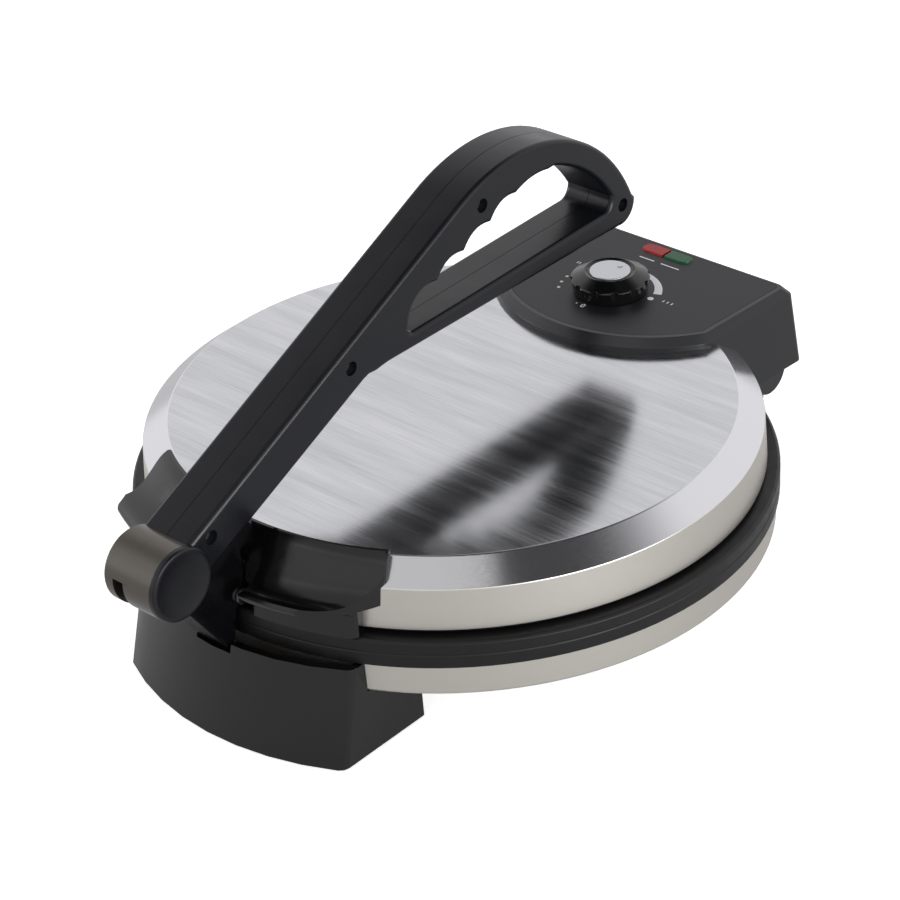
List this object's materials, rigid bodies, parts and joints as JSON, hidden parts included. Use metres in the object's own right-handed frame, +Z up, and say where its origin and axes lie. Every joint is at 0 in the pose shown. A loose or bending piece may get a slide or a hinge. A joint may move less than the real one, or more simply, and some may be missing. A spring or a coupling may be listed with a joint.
{
  "type": "electric roti maker",
  "caption": "Round electric flatbread press with a hinged brushed steel lid, a folding press lever with a scalloped grip loop, moulded feet and a control housing with a knob.",
  "frame": {"origin": "centre of the bounding box on the table plane, under the round base", "axes": "+Z up, -Y towards the lever's barrel at the front, +Y towards the lid hinge at the back"},
  "size_m": [0.298, 0.3758, 0.2034],
  "materials": {
    "pan_steel": "satin drawn sheet",
    "lid_steel": "linear brushed top, polished bevel, satin skirt",
    "band_plastic": "fine satin moulding",
    "cast_plate": "dark non-stick coating on a casting",
    "tube_steel": "oxidised sheath",
    "shield_aluminium": "plain pressed sheet",
    "foot_plastic": "glossy moulding",
    "tab_plastic": "glossy moulding",
    "pad_rubber": "matte rubber",
    "screw_steel": "dark zinc",
    "pin_steel": "turned steel",
    "thermostat_body": "glazed ceramic",
    "fuse_sleeve": "woven sleeve",
    "housing_plastic": "fine satin moulding",
    "panel_plastic": "flat satin sheet",
    "red_lens": "tinted lens",
    "green_lens": "tinted lens",
    "lamp_glass": "clear bulb",
    "terminal_plastic": "plain moulding",
    "grommet_rubber": "matte rubber",
    "link_plastic": "glossy moulding",
    "lever_plastic": "satin moulding with a fine grain",
    "barrel_metal": "satin metallic",
    "cap_plastic": "satin moulding",
    "knob_plastic": "glossy moulding",
    "disc_metal": "spun satin disc"
  },
  "bodies": {
    "base": {"base_pan": "pan_steel", "base_band": "band_plastic", "lower_plate": "cast_plate", "lower_element": "tube_steel", "lower_heat_shield": "shield_aluminium", "front_foot": "foot_plastic", "rear_foot": "foot_plastic", "rubber_feet": "pad_rubber", "foot_screws": "screw_steel", "hinge_pins": "pin_steel"},
    "lid": {"lid_shell": "lid_steel", "lid_ring": "band_plastic", "upper_plate": "cast_plate", "upper_element": "tube_steel", "upper_heat_shield": "shield_aluminium", "thermostat": "thermostat_body", "thermal_fuse": "fuse_sleeve", "lift_tab_left": "tab_plastic", "lift_tab_right": "tab_plastic", "lid_nose": "tab_plastic", "link_pin": "pin_steel", "control_housing": "housing_plastic", "housing_floor": "band_plastic", "control_panel": "panel_plastic", "red_window": "red_lens", "green_window": "green_lens", "indicator_lamps": "lamp_glass", "terminal_block": "terminal_plastic", "cord_grommet": "grommet_rubber", "housing_screws": "screw_steel"},
    "link": {"lever_link": "link_plastic", "knuckle_pin": "pin_steel"},
    "lever": {"handle_left_half": "lever_plastic", "handle_right_half": "lever_plastic", "barrel_left_half": "barrel_metal", "barrel_right_half": "barrel_metal", "barrel_cap_left": "cap_plastic", "barrel_cap_right": "cap_plastic", "handle_screws": "screw_steel"},
    "knob": {"knob": "knob_plastic", "knob_disc": "disc_metal", "thermostat_spindle": "pin_steel"}
  },
  "joints": [
    {"name": "lid_hinge", "type": "hinge", "parent": "base", "child": "lid", "pos_m": [0, 0.1654, 0.058], "axis": [-1, 0, 0], "range_deg": [0, 92]},
    {"name": "link_swing", "type": "hinge", "parent": "lid", "child": "link", "pos_m": [0, -0.1341, 0.066], "axis": [1, 0, 0], "range_deg": [0, 8]},
    {"name": "lever_swing", "type": "hinge", "parent": "link", "child": "lever", "pos_m": [0, -0.1712, 0.0937], "axis": [1, 0, 0], "range_deg": [0, 114]},
    {"name": "knob_turn", "type": "hinge", "parent": "lid", "child": "knob", "pos_m": [0, 0.1284, 0.0975], "axis": [0, 0, 1], "range_deg": [-54, 206]}
  ]
}
